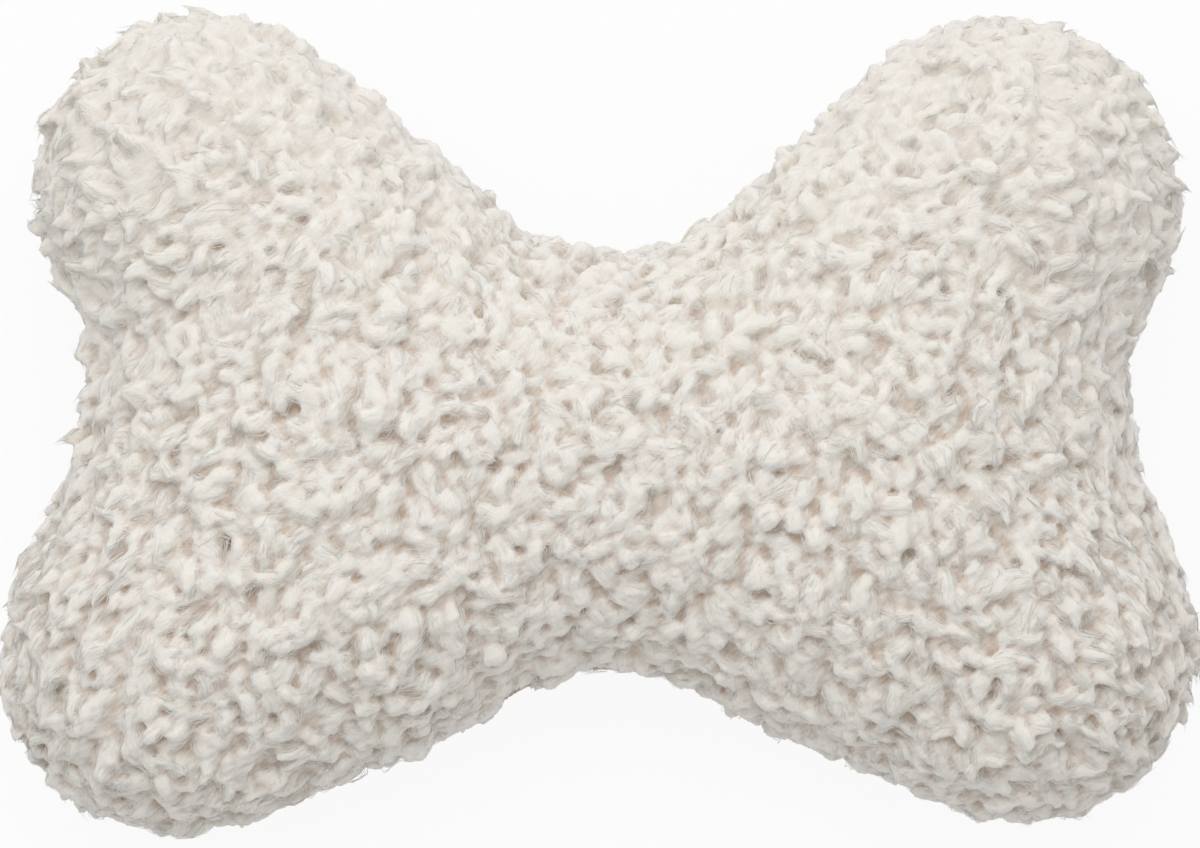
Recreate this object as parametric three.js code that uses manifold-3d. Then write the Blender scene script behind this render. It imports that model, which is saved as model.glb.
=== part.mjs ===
import * as THREE from 'three';
import { mergeVertices } from 'three/addons/utils/BufferGeometryUtils.js';
import Module from 'manifold-3d';

const wasm = await Module();
wasm.setup();

// A stuffed bone of curly fleece. It is drawn lying on its back: x runs along the bone, y across
// it and z up through its front, and z = 0 is the plane of the seam. Sizes are in millimetres.

// The shaft, measured over the pile.
const shaftWidth = 96;
const shaftLength = 242;
const shaftEndLength = 58;
const shaftFrontHeight = 42;
const shaftBackHeight = 38;
const shaftOffset = 9;

// The four knobs, each a plump ball drawn out along its own diagonal.
const knobRadius = 42.5;
const knobStretch = 19;
const knobFrontHeight = 40;
const knobBackHeight = 38;
const knobSpread = 80;
const knobRise = 43.5;
const blendRadius = 10;

// The cloth: a knitted backing with its pile on, and the allowance turned in at the seam.
const clothThickness = 10;
const seamAllowance = 8;
const allowanceThickness = 3;
const creaseDepth = 3;
const creaseWidth = 12;
const clumpHeight = 3;
const restFlatDepth = 0.5;

// The sewing thread and the hand-sewn stitches over the filling gap.
const threadDiameter = 0.8;
const threadInset = 1.2;
const stitchSpan = 60;
const stitchPitch = 7.5;
const stitchWidth = 3;
const stitchDepth = 1.2;

// The squeaker: a soft drum with a reed plug in its neck.
const bulbDiameter = 42;
const bulbHeight = 24;
const bulbWall = 1;
const bulbCorner = 6;
const bulbFold = 1.6;
const plugDiameter = 10;
const plugLength = 9;
const plugBore = 6.8;
const plugRimDiameter = 15;
const plugRimThickness = 1.2;
const plugBarb = 0.8;
const plugBarbHeight = 1.4;
const clipLength = 8.6;
const clipSetback = 0.2;
const bladeLength = 7.6;
const bladeWidth = 3.8;
const bladeThickness = 0.3;

// Clearances between pieces that touch, and the reach of every cutting block.
const clearance = 0.3;
const softClearance = 0.4;
const cutReach = 500;

// The place, shape and lean of each knob, as shares of the knob sizes above. The two ends of the
// bone are stuffed a little differently, so the shares are not mirrored.
const knobShares = {
  upper_left: { x: -0.99, y: 0.99, long: 0.97, wide: 0.99 },
  upper_right: { x: 1.01, y: 0.9, long: 1.01, wide: 1.03 },
  lower_left: { x: -1, y: -1.08, long: 1.06, wide: 1.01 },
  lower_right: { x: 1, y: -1.03, long: 1.01, wide: 0.99 },
};
const knobLeanAngles = { upper_left: -42, upper_right: 48, lower_left: 24, lower_right: -26 };
const knobCutShare = 0.46;
const crownDropShare = 0.3;

// How finely the surfaces are drawn.
const outerColumns = 64;
const outerRings = 9;
const clumpRings = 11;
const innerColumns = 44;
const innerRings = 6;
const outlineRays = 720;
const halvings = 40;
const threadSides = 6;
const stepsPerStitch = 8;
const turnedSides = 24;
const cornerSteps = 3;

// The bone as five rounded lobes: the shaft and the knobs.
const shaftLobe = {
  x: 0,
  y: -shaftOffset,
  lean: 0,
  straight: shaftLength / 2 - shaftEndLength,
  long: shaftEndLength,
  wide: shaftWidth / 2,
  front: shaftFrontHeight,
  back: shaftBackHeight,
};

function knobLobe(name) {
  const share = knobShares[name];
  return {
    x: knobSpread * share.x,
    y: knobRise * share.y,
    lean: THREE.MathUtils.degToRad(knobLeanAngles[name]),
    straight: knobStretch,
    long: knobRadius * share.long,
    wide: knobRadius * share.wide,
    front: knobFrontHeight,
    back: knobBackHeight,
  };
}

const knobNames = Object.keys(knobShares);
const lobes = [shaftLobe, ...knobNames.map(knobLobe)];

// Height of a point over the surface of one lobe, below zero inside it.
function overLobe(lobe, point) {
  const x = point.x - lobe.x;
  const y = point.y - lobe.y;
  const along = x * Math.cos(lobe.lean) + y * Math.sin(lobe.lean);
  const across = y * Math.cos(lobe.lean) - x * Math.sin(lobe.lean);
  const past = along - THREE.MathUtils.clamp(along, -lobe.straight, lobe.straight);
  const up = point.z > 0 ? lobe.front : lobe.back;
  const scaled = Math.hypot(past / lobe.long, across / lobe.wide, point.z / up);
  const slope = Math.hypot(past / lobe.long ** 2, across / lobe.wide ** 2, point.z / up ** 2);
  return slope > 0 ? (scaled * (scaled - 1)) / slope : -lobe.wide;
}

// Height of a point over the whole bone, whose lobes run smoothly into each other.
function overBone(point) {
  const sum = lobes.reduce((total, lobe) => total + Math.exp(-overLobe(lobe, point) / blendRadius), 0);
  return -blendRadius * Math.log(sum);
}

// The point straight out from the middle, at one bearing and climb, that lies the given depth
// under the surface.
function surfacePoint(bearing, climb, depth) {
  const flat = Math.cos(climb);
  const ray = new THREE.Vector3(flat * Math.cos(bearing), flat * Math.sin(bearing), Math.sin(climb));
  const point = new THREE.Vector3();
  let near = 0;
  let far = shaftLength;
  for (let i = 0; i < halvings; i += 1) {
    const middle = (near + far) / 2;
    point.copy(ray).multiplyScalar(middle);
    if (overBone(point) < -depth) {
      near = middle;
    } else {
      far = middle;
    }
  }
  return point;
}

// Bearings that divide the outline of the bone into equal stretches.
function evenBearings(columns) {
  const rays = Array.from({ length: outlineRays + 1 }, (_, i) => (2 * Math.PI * i) / outlineRays);
  const outline = rays.map((bearing) => surfacePoint(bearing, 0, 0));
  const travelled = [0];
  for (let i = 1; i <= outlineRays; i += 1) {
    travelled.push(travelled[i - 1] + outline[i].distanceTo(outline[i - 1]));
  }
  const bearings = [];
  let ray = 0;
  for (let column = 0; column < columns; column += 1) {
    const target = (travelled[outlineRays] * column) / columns;
    while (travelled[ray + 1] < target) {
      ray += 1;
    }
    const share = (target - travelled[ray]) / (travelled[ray + 1] - travelled[ray]);
    bearings.push(rays[ray] + share * (rays[ray + 1] - rays[ray]));
  }
  return bearings;
}

const outerBearings = evenBearings(outerColumns);
const innerBearings = evenBearings(innerColumns);

// The point of a skin at one bearing, turned up from the seam towards the front or the back.
function ringPoint(bearing, side, turn, depth) {
  const height = side > 0 ? shaftFrontHeight : shaftBackHeight;
  const reach = surfacePoint(bearing, 0, 0).length();
  const climb = Math.atan2(side * height * Math.sin(turn), reach * Math.cos(turn));
  return surfacePoint(bearing, climb, depth);
}

// The curls of the pile gather into clumps. Every other point of a clumped ring is the crown of
// one, near the surface, and the points between the crowns lie in the hollows round them.
const crownTurn = Math.PI * (3 - Math.sqrt(5));

function isCrown(ring, column) {
  return (ring + column) % 2 === 0;
}

function clumpDepth(ring, column) {
  const drop = (1 + Math.sin(crownTurn * (column + outerColumns * ring))) / 2;
  return clumpHeight * (isCrown(ring, column) ? crownDropShare * drop : 1);
}

// A closed skin the given depth under the surface. Its rings climb from the seam to a pole on
// the front and one on the back, and the two rings next to a pole have half the columns. The
// front may have a number of clumped rings of its own, of which the last three are halved.
const lipTurn = Math.asin(creaseWidth / 2 / shaftFrontHeight);

function boneSkin(bearings, rings, depth, crease, clumped = 0) {
  const positions = [];
  const faces = [];

  function addRing(turn, side, ringDepth, step, ring = 0) {
    const first = positions.length / 3;
    const count = bearings.length / step;
    const crowns = [];
    for (let column = 0; column < count; column += 1) {
      const under = ring > 0 ? ringDepth + clumpDepth(ring, column) : ringDepth;
      positions.push(...ringPoint(bearings[column * step], side, turn, under).toArray());
      crowns.push(ring > 0 && isCrown(ring, column));
    }
    return { first, count, crowns };
  }

  function addFace(a, b, c, side) {
    faces.push(a, side > 0 ? b : c, side > 0 ? c : b);
  }

  // Joins a ring to the one above it, which has as many columns or half as many. No edge runs
  // from crown to crown, so that hollows part them.
  function join(low, high, side) {
    for (let i = 0; i < low.count; i += 1) {
      const a = low.first + i;
      const b = low.first + ((i + 1) % low.count);
      if (high.count === low.count) {
        const c = high.first + ((i + 1) % high.count);
        const d = high.first + i;
        if (low.crowns[i]) {
          addFace(a, b, d, side);
          addFace(b, c, d, side);
        } else {
          addFace(a, b, c, side);
          addFace(a, c, d, side);
        }
      } else {
        const near = high.first + (Math.floor((i + 1) / 2) % high.count);
        addFace(a, b, near, side);
        if (i % 2 === 0) {
          const next = high.first + ((i / 2 + 1) % high.count);
          addFace(b, next, high.first + i / 2, side);
        }
      }
    }
  }

  const seam = addRing(0, 1, depth + crease, 1);
  for (const side of [1, -1]) {
    const isClumped = side > 0 && clumped > 0;
    const last = isClumped ? clumped : rings;
    const whole = isClumped ? last - 3 : last - 2;
    let low = seam;
    for (let ring = 0; ring < last; ring += 1) {
      const turn = lipTurn + ((Math.PI / 2 - lipTurn) * ring) / last;
      const step = ring < whole ? 1 : 2;
      const high = addRing(turn, side, depth, step, isClumped ? ring : 0);
      join(low, high, side);
      low = high;
    }
    const pole = positions.length / 3;
    positions.push(...surfacePoint(0, (side * Math.PI) / 2, depth).toArray());
    for (let i = 0; i < low.count; i += 1) {
      addFace(low.first + i, low.first + ((i + 1) % low.count), pole, side);
    }
  }
  return meshOf(positions, faces);
}

function meshOf(positions, faces) {
  const geometry = new THREE.BufferGeometry();
  geometry.setAttribute('position', new THREE.Float32BufferAttribute(positions, 3));
  geometry.setIndex(faces);
  return geometry;
}

// A geometry as a solid that can be joined and cut, and back again.
function solidOf(geometry) {
  geometry.deleteAttribute('normal');
  geometry.deleteAttribute('uv');
  const merged = mergeVertices(geometry);
  return new wasm.Manifold(new wasm.Mesh({
    numProp: 3,
    vertProperties: new Float32Array(merged.attributes.position.array),
    triVerts: new Uint32Array(merged.index.array),
  }));
}

function geometryOf(solid) {
  const mesh = solid.getMesh();
  const geometry = meshOf(Array.from(mesh.vertProperties), Array.from(mesh.triVerts));
  geometry.computeVertexNormals();
  return geometry;
}

// A level block that fills everything from one height to another.
function slab(low, high) {
  const block = new THREE.BoxGeometry(cutReach, cutReach, high - low);
  return solidOf(block.translate(0, 0, (low + high) / 2));
}

// Everything past an upright plane that stands the given distance from the middle.
function beyond(bearing, distance) {
  const block = new THREE.BoxGeometry(cutReach, cutReach, cutReach);
  return solidOf(block.translate(distance + cutReach / 2, 0, 0).rotateZ(bearing));
}

// Covers: each is one panel of cloth that bulges out from the seam, with its allowance turned in.
const pile = solidOf(boneSkin(outerBearings, outerRings, 0, creaseDepth, clumpRings));
const pilePoints = geometryOf(pile).attributes.position;
const pileBox = new THREE.Box3().setFromBufferAttribute(pilePoints);
const middle = pileBox.getCenter(new THREE.Vector3()).setZ(0);

// The bone rests on a flat under each end, so both ends are cut at the higher of their lows.
function lowestAtEnd(side) {
  let low = 0;
  for (let i = 0; i < pilePoints.count; i += 1) {
    if (pilePoints.getX(i) * side > 0) {
      low = Math.min(low, pilePoints.getZ(i));
    }
  }
  return low;
}

const restLevel = Math.max(lowestAtEnd(1), lowestAtEnd(-1)) + restFlatDepth;
const lining = solidOf(boneSkin(innerBearings, innerRings, clothThickness, 0));
const insideAllowance = solidOf(
  boneSkin(innerBearings, innerRings, clothThickness + seamAllowance, 0),
);
const allowanceTop = clearance / 2 + allowanceThickness;

function cover(low, high, roomLow, roomHigh) {
  const panel = pile.intersect(slab(low, high));
  return panel.subtract(lining.intersect(slab(roomLow, roomHigh))).subtract(insideAllowance);
}

const frontCover = cover(clearance / 2, cutReach, allowanceTop, cutReach);
const backCover = cover(restLevel, -clearance / 2, -cutReach, -allowanceTop);

// Seam threads: one runs along the top of each allowance, just inside the cloth.
const threadRadius = threadDiameter / 2;
const threadLevel = allowanceTop + clearance + threadRadius;

function seamThread(side) {
  const positions = [];
  const faces = [];
  const route = innerBearings.map((bearing) => {
    const low = ringPoint(bearing, side, 0, clothThickness);
    const high = ringPoint(bearing, side, lipTurn, clothThickness);
    return low.lerp(high, threadLevel / Math.abs(high.z));
  });
  for (let i = 0; i < innerColumns; i += 1) {
    const before = route.at(i - 1);
    const after = route[(i + 1) % innerColumns];
    const outward = new THREE.Vector3(after.y - before.y, before.x - after.x, 0).normalize();
    const centre = route[i].clone().addScaledVector(outward, -threadInset);
    for (let corner = 0; corner < threadSides; corner += 1) {
      const turn = (2 * Math.PI * corner) / threadSides;
      const away = threadRadius * Math.cos(turn);
      const up = centre.z + threadRadius * Math.sin(turn);
      positions.push(centre.x + outward.x * away, centre.y + outward.y * away, up);
      const here = i * threadSides;
      const next = ((i + 1) % innerColumns) * threadSides;
      const turned = (corner + 1) % threadSides;
      faces.push(here + corner, next + corner, next + turned);
      faces.push(here + corner, next + turned, here + turned);
    }
  }
  return meshOf(positions, faces);
}

// Closing stitches: one thread that swings from lip to lip of the crease along the lower waist.
function closingStitches() {
  const waist = outerBearings.map((bearing) => surfacePoint(bearing, 0, stitchDepth));
  const lower = waist.filter((point) => point.y < 0 && Math.abs(point.x) < stitchSpan);
  lower.sort((a, b) => a.x - b.x);
  const line = new THREE.CurvePath();
  for (let i = 1; i < lower.length; i += 1) {
    line.add(new THREE.LineCurve3(lower[i - 1], lower[i]));
  }
  const steps = Math.round((stitchSpan / stitchPitch) * stepsPerStitch);
  const start = (line.getLength() - stitchSpan) / 2;
  const points = [];
  for (let i = 0; i <= steps; i += 1) {
    const point = line.getPointAt((start + (stitchSpan * i) / steps) / line.getLength());
    point.z = (stitchWidth / 2) * Math.sin((2 * Math.PI * i) / stepsPerStitch);
    points.push(point);
  }
  const section = new THREE.Shape(new THREE.Path().absarc(0, 0, threadRadius, 0, 2 * Math.PI)
    .getSpacedPoints(threadSides).slice(0, threadSides));
  const route = new THREE.CatmullRomCurve3(points);
  return new THREE.ExtrudeGeometry(section, { steps, extrudePath: route });
}

// Filling: wads of fibre that keep clear of the seam allowance. The shaft holds two, with the
// squeaker pressed between them, and each knob holds one.
const wadBody = solidOf(boneSkin(innerBearings, innerRings, clothThickness + softClearance, 0));
const wadWaist = solidOf(
  boneSkin(innerBearings, innerRings, clothThickness + seamAllowance + softClearance, 0),
);
const waistHeight = threadLevel + threadRadius + softClearance;
const filling = wadBody.subtract(slab(-waistHeight, waistHeight)).add(wadWaist);

function knobCut(name, gap) {
  const share = knobShares[name];
  const place = new THREE.Vector2(knobSpread * share.x, knobRise * share.y);
  return beyond(place.angle(), place.length() * knobCutShare + gap);
}

function knobFilling(name) {
  const upward = Math.sign(knobShares[name].y) * (Math.PI / 2);
  const wad = filling.intersect(knobCut(name, clearance / 2));
  return wad.intersect(beyond(upward, clearance / 2));
}

const shaftFilling = knobNames.reduce(
  (wad, name) => wad.subtract(knobCut(name, -clearance / 2)),
  filling,
);

// Squeaker drum: a round profile with rounded corners and a fold round its middle.
const bulbRadius = bulbDiameter / 2;
const neckRadius = plugDiameter / 2 + clearance;

function drumSide(grow) {
  const points = [];
  const corner = bulbCorner + grow;
  for (const half of [-1, 1]) {
    for (let i = 0; i <= cornerSteps; i += 1) {
      const turn = (Math.PI / 2) * (i / cornerSteps);
      const angle = half < 0 ? turn - Math.PI / 2 : turn;
      const x = bulbRadius - bulbCorner + corner * Math.cos(angle);
      const y = half * (bulbHeight / 2 - bulbCorner) + corner * Math.sin(angle);
      points.push(new THREE.Vector2(x, y));
    }
    if (half < 0) {
      points.push(new THREE.Vector2(bulbRadius - bulbFold + grow, 0));
    }
  }
  return points;
}

// Turns a profile of x out from the axis and y along it into an upright solid.
function turned(points) {
  return new THREE.LatheGeometry(points, turnedSides).rotateX(Math.PI / 2);
}

function squeakerBulb() {
  const top = bulbHeight / 2;
  const inside = drumSide(-bulbWall).reverse();
  return turned([
    new THREE.Vector2(0, -top),
    ...drumSide(0),
    new THREE.Vector2(neckRadius, top),
    new THREE.Vector2(neckRadius, top - bulbWall),
    ...inside,
    new THREE.Vector2(0, bulbWall - top),
  ]);
}

// Reed plug: a rim that sits on the drum, a barrel through its neck and a barb under the wall.
const plugRadius = plugDiameter / 2;
const plugBoreRadius = plugBore / 2;
const rimRadius = plugRimDiameter / 2;
const rimLow = bulbHeight / 2 + clearance;
const rimTop = rimLow + plugRimThickness;
const barbTop = bulbHeight / 2 - bulbWall - clearance;
const plugEnd = rimLow - plugLength;

function reedPlug() {
  return turned([
    new THREE.Vector2(plugBoreRadius, plugEnd),
    new THREE.Vector2(plugRadius, plugEnd),
    new THREE.Vector2(plugRadius, barbTop - plugBarbHeight),
    new THREE.Vector2(plugRadius + plugBarb, barbTop),
    new THREE.Vector2(plugRadius, barbTop),
    new THREE.Vector2(plugRadius, rimLow),
    new THREE.Vector2(rimRadius, rimLow),
    new THREE.Vector2(rimRadius, rimTop),
    new THREE.Vector2(plugBoreRadius, rimTop),
    new THREE.Vector2(plugBoreRadius, plugEnd),
  ]);
}

// Reed clip: a half-round bar in the bore of the plug, whose flat side carries the blade.
function reedClip() {
  const radius = plugBoreRadius - clearance;
  const opening = Math.acos(-clipSetback / radius);
  const section = new THREE.Shape(new THREE.Path()
    .absarc(0, 0, radius, opening, 2 * Math.PI - opening)
    .getSpacedPoints(turnedSides / 2));
  const bar = new THREE.ExtrudeGeometry(section, { depth: clipLength, bevelEnabled: false });
  return bar.translate(0, 0, rimTop - clipLength);
}

// Reed blade: a thin tongue on the flat of the clip, held at its top end.
function reedBlade() {
  const blade = new THREE.BoxGeometry(bladeThickness, bladeWidth, bladeLength);
  const away = clearance - clipSetback + bladeThickness / 2;
  return blade.translate(away, 0, rimTop - bladeLength / 2);
}

// The pocket that the squeaker presses into the filling.
function squeakerPocket() {
  const top = bulbHeight / 2 + softClearance;
  const grown = rimRadius + softClearance;
  return turned([
    new THREE.Vector2(0, -top),
    ...drumSide(softClearance),
    new THREE.Vector2(grown, top),
    new THREE.Vector2(grown, rimTop + softClearance),
    new THREE.Vector2(0, rimTop + softClearance),
  ]);
}

// The finished group. The squeaker and the origin lie under the middle of the bone's outline,
// and the origin is on the surface that the bone rests on.
function atMiddle(geometry) {
  return geometry.translate(middle.x, middle.y, 0);
}

const pocket = solidOf(atMiddle(squeakerPocket()));

const fleece = { color: 0xf0e6d8, roughness: 0.95, metalness: 0 };
const fibre = { color: 0xf7f6f2, roughness: 0.9, metalness: 0 };
const thread = { color: 0xe9dfd0, roughness: 0.7, metalness: 0 };
const softPlastic = { color: 0xe8eaea, roughness: 0.45, metalness: 0 };
const hardPlastic = { color: 0xf4f4f2, roughness: 0.3, metalness: 0 };
const reedSheet = { color: 0xdfe3e6, roughness: 0.25, metalness: 0 };

const bone = new THREE.Group();

function addPiece(name, geometry, finish) {
  const mesh = new THREE.Mesh(geometry, new THREE.MeshStandardMaterial(finish));
  mesh.name = name;
  bone.add(mesh);
}

addPiece('front_cover', geometryOf(frontCover), fleece);
addPiece('back_cover', geometryOf(backCover), fleece);
addPiece('seam_needle_thread', seamThread(1), thread);
addPiece('seam_bobbin_thread', seamThread(-1), thread);
addPiece('closing_stitch_thread', closingStitches(), thread);
const shaftFront = shaftFilling.subtract(pocket).intersect(slab(clearance / 2, cutReach));
const shaftBack = shaftFilling.subtract(pocket).intersect(slab(-cutReach, -clearance / 2));
addPiece('shaft_filling_front', geometryOf(shaftFront), fibre);
addPiece('shaft_filling_back', geometryOf(shaftBack), fibre);
for (const name of knobNames) {
  addPiece(`${name}_knob_filling`, geometryOf(knobFilling(name)), fibre);
}
addPiece('squeaker_bulb', atMiddle(squeakerBulb()), softPlastic);
addPiece('squeaker_reed_plug', atMiddle(reedPlug()), hardPlastic);
addPiece('squeaker_reed_clip', atMiddle(reedClip()), hardPlastic);
addPiece('squeaker_reed_blade', atMiddle(reedBlade()), reedSheet);

bone.position.set(-middle.x, -middle.y, -restLevel);
bone.updateMatrixWorld(true);

export default bone;
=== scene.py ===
import math

import bpy
import numpy as np
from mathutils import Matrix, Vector
from mathutils.kdtree import KDTree


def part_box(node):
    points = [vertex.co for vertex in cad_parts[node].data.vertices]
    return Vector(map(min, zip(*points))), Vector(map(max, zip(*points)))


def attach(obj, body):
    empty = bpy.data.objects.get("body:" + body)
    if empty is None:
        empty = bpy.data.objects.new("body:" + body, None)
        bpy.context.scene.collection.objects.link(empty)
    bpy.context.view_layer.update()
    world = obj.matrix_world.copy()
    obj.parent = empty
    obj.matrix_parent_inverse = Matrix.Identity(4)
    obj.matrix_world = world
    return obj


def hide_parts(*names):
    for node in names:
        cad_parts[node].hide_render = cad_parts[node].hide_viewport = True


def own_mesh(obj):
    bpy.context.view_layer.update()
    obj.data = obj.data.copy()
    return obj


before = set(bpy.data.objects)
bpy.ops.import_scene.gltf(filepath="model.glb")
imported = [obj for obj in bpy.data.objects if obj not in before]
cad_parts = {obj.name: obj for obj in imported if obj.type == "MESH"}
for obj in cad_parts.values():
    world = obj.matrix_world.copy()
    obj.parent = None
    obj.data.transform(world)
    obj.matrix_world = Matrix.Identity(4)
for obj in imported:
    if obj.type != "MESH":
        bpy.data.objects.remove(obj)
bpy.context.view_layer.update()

# The stuffed bone: two panels of fleece, sewn face to face round their edge, turned and stuffed
# tight with fibre. Its plump shape is read from the frame's covers and fillings, whose gaps are
# closed and whose facets are rounded off. The lining is the inner face of the cloth.
MM = 0.001
MERGING_DISTANCE = 0.01 * MM
BODY_CELL = 2.6 * MM
BODY_SOFTENING_STEPS = 4
BODY_SOFTNESS = 0.6
LINING_SOFTENING_STEPS = 3
LINING_CLEARANCE = 0.5 * MM
COVERS = ("front_cover", "back_cover")
FILLINGS = [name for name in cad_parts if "filling" in name]
SEAM_HEIGHT = (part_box("front_cover")[0].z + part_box("back_cover")[1].z) / 2


def select_only(*things):
    bpy.ops.object.select_all(action="DESELECT")
    for thing in things:
        thing.select_set(True)
    bpy.context.view_layer.objects.active = things[0]


def twin_of(thing, name):
    """A copy of an object under a new name, with its own mesh and without material or parent."""
    twin = thing.copy()
    twin.data = thing.data.copy()
    twin.name = name
    twin.parent = None
    for key in list(twin.keys()):
        del twin[key]
    twin.data.materials.clear()
    bpy.context.scene.collection.objects.link(twin)
    return twin


def copy_of_node(node_name, name):
    """A copy of a frame node with its loose triangles merged."""
    twin = twin_of(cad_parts[node_name], name)
    select_only(twin)
    bpy.ops.object.mode_set(mode="EDIT")
    bpy.ops.mesh.select_all(action="SELECT")
    bpy.ops.mesh.remove_doubles(threshold=MERGING_DISTANCE)
    bpy.ops.object.mode_set(mode="OBJECT")
    return twin


def modify(thing, kind, **settings):
    """Adds one modifier with its settings and applies it."""
    select_only(thing)
    modifier = thing.modifiers.new(kind.title(), kind)
    for key, value in settings.items():
        setattr(modifier, key, value)
    bpy.ops.object.modifier_apply(modifier=modifier.name)


def soften(thing, steps, softness=0.5):
    """Moves every point towards its neighbours' middle, a number of times."""
    modify(thing, "SMOOTH", factor=softness, iterations=steps)


def grown_together(parts, name, cell):
    """Joins overlapping solids and regrows them as one closed skin of even cells."""
    select_only(*parts)
    bpy.ops.object.join()
    whole = parts[0]
    modify(whole, "REMESH", mode="VOXEL", voxel_size=cell, adaptivity=0)
    bpy.ops.mesh.separate(type="LOOSE")
    whole, *crumbs = sorted(bpy.context.selected_objects, key=lambda part: -part.dimensions.length)
    for crumb in crumbs:
        bpy.data.objects.remove(crumb)
    whole.name = name
    return whole


def read_points(thing):
    points = np.empty(len(thing.data.vertices) * 3)
    thing.data.vertices.foreach_get("co", points)
    return points.reshape(-1, 3)


def read_normals(thing):
    normals = np.empty(len(thing.data.vertices) * 3)
    thing.data.vertex_normals.foreach_get("vector", normals)
    return normals.reshape(-1, 3)


def swell(thing, distance):
    """Moves every point along its normal by one distance, or by one of its own."""
    moved = read_points(thing) + read_normals(thing) * np.reshape(distance, (-1, 1))
    thing.data.vertices.foreach_set("co", moved.ravel())
    thing.data.update()


stuffed_parts = [copy_of_node(name, "part_of_bone") for name in (*COVERS, *FILLINGS)]
stuffed_bone = grown_together(stuffed_parts, "stuffed_bone", BODY_CELL)
soften(stuffed_bone, BODY_SOFTENING_STEPS, BODY_SOFTNESS)
lining_parts = [copy_of_node(name, "part_of_lining") for name in FILLINGS]
lining = grown_together(lining_parts, "lining", BODY_CELL)
soften(lining, LINING_SOFTENING_STEPS)
swell(lining, LINING_CLEARANCE)

# Fleece panels: long-pile fleece, matted into curls of two plies that grow from a knitted backing.
# On the shaft they are short and curled under, and towards the knobs longer and brushed outwards.
# Along the top and round the ends the pile lies calm and flatter, and the shade painted into its crevices
# is fainter there.
PILE_HEIGHT = 4.4 * MM
UNDERGROWTH_DEPTH = 2.3 * MM
UNDERGROWTH_BUMP = 0.5 * MM
UNDERGROWTH_GRAIN = 1.5 * MM
UNDERGROWTH_SEED = 5
UNDERGROWTH_WAVES = 12
BACKING_SOFTENING_STEPS = 3
CURL_SPACING = 2.8 * MM
CURL_TRIES = 80000
CURL_KNOTS = 8
CURL_SIDES = 6
PLIES = 2
SHAFT_REACH = 50 * MM
KNOB_REACH = 120 * MM
BRUSHING_GRAIN = 9 * MM
BRUSHING_SEED = 11
BRUSHING_SPREAD = 0.25
CALM_FAINTER_SHADE_WIDTH = 90 * MM
CALM_FAINTER_SHADE_END_START = 95 * MM
CALM_FAINTER_SHADE_END_REACH = 60 * MM
CALM_FAINTER_SHADE_SHARE = 0.8
FRONT_CELL = 0.8 * MM
BACK_CELL = 0.95 * MM
COTTON_GRAIN = 0.55 * MM
COTTON_BUMP = 0.11 * MM
COTTON_SEED = 17
PRESSED_GAP = 0.05 * MM
GROWTH_SEED = 7

rng = np.random.default_rng(GROWTH_SEED)


def unit(vectors):
    return vectors / np.maximum(np.linalg.norm(vectors, axis=-1, keepdims=True), 1e-9)


def wander(points, grain, seed, waves=7):
    """Three smooth random values at each point, about one in size, that change over one grain."""
    draw = np.random.default_rng(seed)
    total = np.zeros_like(points)
    for _ in range(waves):
        along = draw.normal(size=(3, 3)) / grain
        phase = draw.random(3) * 2 * math.pi
        total += np.sin(points @ along.T + phase)
    return total / math.sqrt(waves / 2)


def scatter(thing, spacing, tries):
    """Random places on a mesh, with their normals, no two closer than the spacing."""
    mesh = thing.data
    mesh.calc_loop_triangles()
    corners = np.empty(len(mesh.loop_triangles) * 3, int)
    mesh.loop_triangles.foreach_get("vertices", corners)
    corners = corners.reshape(-1, 3)
    points, normals = read_points(thing), read_normals(thing)
    a, b, c = (points[corners[:, k]] for k in range(3))
    areas = np.linalg.norm(np.cross(b - a, c - a), axis=1)
    chosen = rng.choice(len(corners), tries, p=areas / areas.sum())
    weights = rng.dirichlet((1, 1, 1), tries)[:, :, None]
    places = (points[corners[chosen]] * weights).sum(1)
    upright = unit((normals[corners[chosen]] * weights).sum(1))
    kept, cells = [], {}
    for i, (x, y, z) in enumerate(np.floor(places / spacing).astype(int)):
        near = [
            j
            for dx in (-1, 0, 1)
            for dy in (-1, 0, 1)
            for dz in (-1, 0, 1)
            for j in cells.get((x + dx, y + dy, z + dz), ())
        ]
        if near and (np.square(places[near] - places[i]).sum(1) < spacing**2).any():
            continue
        cells.setdefault((x, y, z), []).append(i)
        kept.append(i)
    return places[kept], upright[kept]


def directions(paths, across):
    """The sideways and upward directions that go with each point of the paths."""
    ahead = unit(np.gradient(paths, axis=1))
    level = across[:, None, :]
    sideways = unit(level - ahead * (level * ahead).sum(-1, keepdims=True))
    return sideways, np.cross(ahead, sideways)


def tube_points(paths, across, widths, heights, sides):
    """Points of tubes round the paths (many, knots, 3), drawn to a point at both ends."""
    many, knots, _ = paths.shape
    sideways, upwards = directions(paths, across)
    turn = np.arange(sides) * 2 * math.pi / sides
    away = (
        sideways[:, :, None, :] * (widths[:, :, None] * np.cos(turn))[..., None]
        + upwards[:, :, None, :] * (heights[:, :, None] * np.sin(turn))[..., None]
    )
    rings = (paths[:, :, None, :] + away)[:, 1:-1].reshape(many, (knots - 2) * sides, 3)
    return np.concatenate([paths[:, :1], rings, paths[:, -1:]], 1)


def tube_faces(knots, sides):
    """Faces of one tube whose points are its root, its rings in turn and its tip."""
    rings = knots - 2
    last = 1 + (rings - 1) * sides
    following = [(s + 1) % sides for s in range(sides)]
    faces = [(0, 1 + following[s], 1 + s) for s in range(sides)]
    for ring in range(rings - 1):
        low = 1 + ring * sides
        high = low + sides
        faces += [(low + s, low + following[s], high + following[s], high + s) for s in range(sides)]
    return faces + [(last + s, last + following[s], 1 + rings * sides) for s in range(sides)]


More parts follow.
